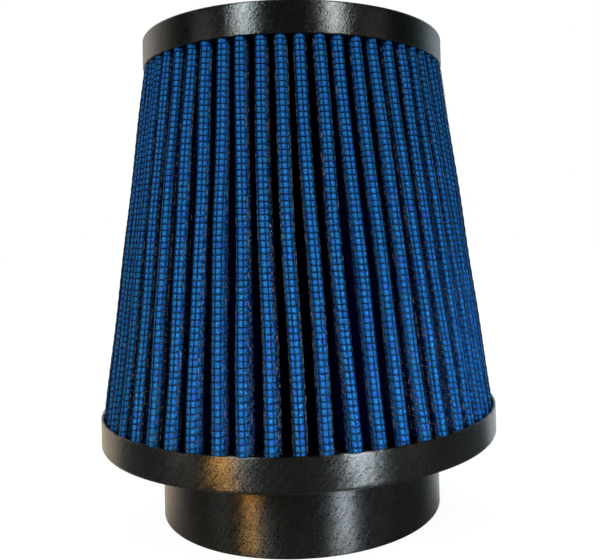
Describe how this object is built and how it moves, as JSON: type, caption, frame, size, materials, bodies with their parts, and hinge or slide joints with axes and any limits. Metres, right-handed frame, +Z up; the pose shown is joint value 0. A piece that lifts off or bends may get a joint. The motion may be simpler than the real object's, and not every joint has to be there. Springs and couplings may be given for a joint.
{
  "type": "conical engine air filter",
  "caption": "Conical clamp-on engine air filter: blue pleated cotton gauze under black wire mesh, between a black moulded top cap and a base ring with a round inlet neck.",
  "frame": {"origin": "centre of the inlet neck's open end, which is the face the filter stands on", "axes": "+Z up the filter's axis from the inlet neck to the top cap, +Y away from the viewer of the picture"},
  "size_m": [0.1272, 0.1273, 0.1513],
  "materials": {
    "urethane": "black cast urethane, semi-gloss, fine orange peel",
    "gauze": "oiled blue cotton gauze",
    "wire": "black coated woven wire"
  },
  "bodies": {
    "root": {"base_flange": "urethane", "top_cap": "urethane", "cotton_gauze": "gauze", "outer_wire_mesh": "wire", "inner_wire_mesh": "wire"}
  },
  "joints": []
}
